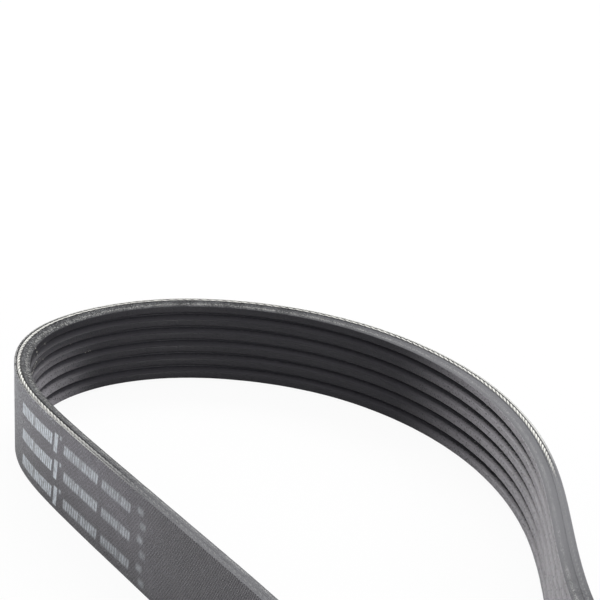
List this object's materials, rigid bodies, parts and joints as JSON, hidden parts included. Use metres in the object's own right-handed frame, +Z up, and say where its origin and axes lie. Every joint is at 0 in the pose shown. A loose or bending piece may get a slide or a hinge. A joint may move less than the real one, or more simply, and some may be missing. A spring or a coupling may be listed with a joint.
{
  "type": "serpentine belt",
  "caption": "Closed loop of ribbed rubber drive belt, V ribs inside and a smooth back outside, standing on one cut edge in a loose pear-shaped loop.",
  "frame": {"origin": "on the floor under the middle of the loop's outline", "axes": "+Z up out of the floor, across the belt's width; +Y from the narrow bend to the wide end of the loop; +X to the right"},
  "size_m": [0.1322, 0.2496, 0.0214],
  "materials": {
    "belt_rubber": "matt moulded rubber, woven back, knife-cut edges"
  },
  "bodies": {
    "root": {"serpentine_belt": "belt_rubber"}
  },
  "joints": []
}
